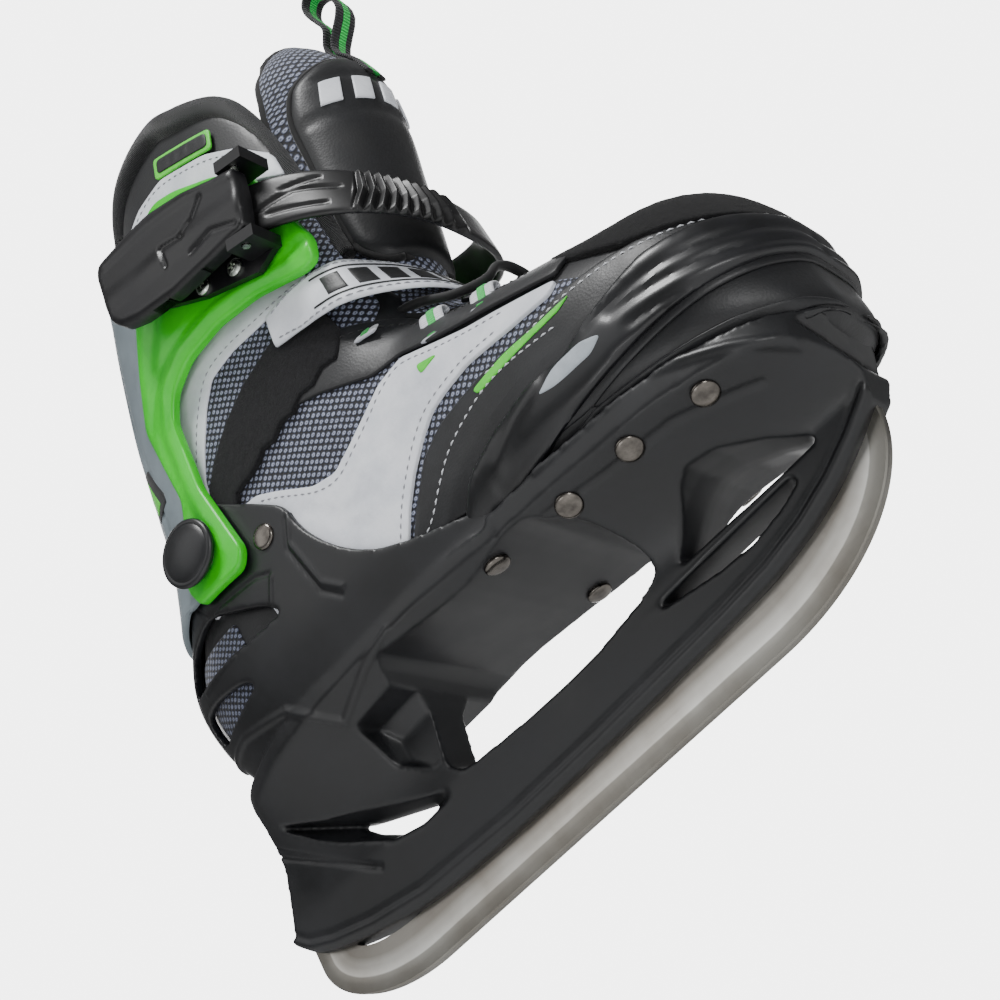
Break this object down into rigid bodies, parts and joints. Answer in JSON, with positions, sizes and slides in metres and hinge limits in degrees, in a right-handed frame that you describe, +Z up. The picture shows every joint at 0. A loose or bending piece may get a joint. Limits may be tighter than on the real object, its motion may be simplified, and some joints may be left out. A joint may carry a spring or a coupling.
{
  "type": "ice skate",
  "caption": "Right-foot recreational soft-boot ice skate: moulded blade holder and heel cage, hinged cuff with ratchet buckle, instep strap, steel runner.",
  "frame": {"origin": "middle of the flat length of the runner's lower edge, on the blade's centre plane", "axes": "+X towards the toe, +Z up along the leg, -Y towards the outer side with the buckle"},
  "size_m": [0.2852, 0.1164, 0.3459],
  "materials": {
    "runner_steel": "ground stainless strip, bright upper band",
    "fastener_steel": "zinc-plated",
    "black_nylon": "injection moulded, satin",
    "gloss_black_tpu": "moulded, half gloss",
    "grey_nylon": "injection moulded, satin",
    "green_nylon": "injection moulded, satin gloss",
    "white_coated_fabric": "polyurethane-coated fabric",
    "black_air_mesh": "knitted spacer mesh",
    "black_felt": "brushed felt",
    "fibre_board": "pressed board",
    "foam_footbed": "fabric over foam",
    "green_webbing": "woven webbing"
  },
  "bodies": {
    "boot": {"blade_holder": "black_nylon", "boot_foot": "white_coated_fabric", "footbed": "foam_footbed", "heel_cage": "black_nylon", "lace": "black_air_mesh", "lace_eyelet_inner_1": "green_webbing", "lace_eyelet_inner_2": "green_webbing", "lace_eyelet_inner_3": "green_webbing", "lace_eyelet_outer_1": "green_webbing", "lace_eyelet_outer_2": "green_webbing", "lace_eyelet_outer_3": "green_webbing", "lasting_board": "fibre_board", "pivot_bolt_inner": "fastener_steel", "pivot_bolt_outer": "fastener_steel", "pivot_cap_inner": "black_nylon", "pivot_cap_outer": "black_nylon", "runner_blade": "runner_steel", "sole_rivet_inner_1": "fastener_steel", "sole_rivet_inner_2": "fastener_steel", "sole_rivet_inner_3": "fastener_steel", "sole_rivet_inner_4": "fastener_steel", "sole_rivet_outer_1": "fastener_steel", "sole_rivet_outer_2": "fastener_steel", "sole_rivet_outer_3": "fastener_steel", "sole_rivet_outer_4": "fastener_steel", "toe_cap": "black_felt", "toe_shell": "gloss_black_tpu", "tongue_lower": "black_air_mesh", "wing_rivet_inner": "fastener_steel", "wing_rivet_outer": "fastener_steel"},
    "cuff": {"cuff_shell": "grey_nylon", "cuff_frame_outer": "green_nylon", "cuff_frame_inner": "green_nylon", "cuff_rear_screw": "fastener_steel", "ankle_collar": "white_coated_fabric", "tongue_upper": "black_air_mesh", "pull_loop": "green_webbing", "ladder_strap": "black_nylon", "strap_anchor_bolt": "fastener_steel", "buckle_base": "black_nylon", "lever_pin": "fastener_steel", "buckle_screw_1": "fastener_steel", "buckle_screw_2": "fastener_steel"},
    "buckle_lever": {"buckle_lever": "black_nylon", "pawl_pin": "fastener_steel"},
    "buckle_pawl": {"buckle_pawl": "black_nylon"},
    "instep_strap": {"instep_strap": "white_coated_fabric"}
  },
  "joints": [
    {"name": "cuff_flex", "type": "hinge", "parent": "boot", "child": "cuff", "pos_m": [-0.08, 0, 0.156], "axis": [0, 1, 0], "range_deg": [0, 6], "stiffness_Nm_per_rad": 12},
    {"name": "lever_open", "type": "hinge", "parent": "cuff", "child": "buckle_lever", "pos_m": [0.012, -0.0574, 0.238], "axis": [0.333, 0, 0.9429], "range_deg": [0, 95]},
    {"name": "pawl_lift", "type": "hinge", "parent": "buckle_lever", "child": "buckle_pawl", "pos_m": [0.00021, -0.0567, 0.24216], "axis": [0.333, 0, 0.9429], "range_deg": [-4, 4], "stiffness_Nm_per_rad": 0.02},
    {"name": "strap_peel", "type": "hinge", "parent": "boot", "child": "instep_strap", "pos_m": [0, 0.0386, 0.19], "axis": [0.2501, 0, 0.9682], "range_deg": [0, 100]}
  ]
}
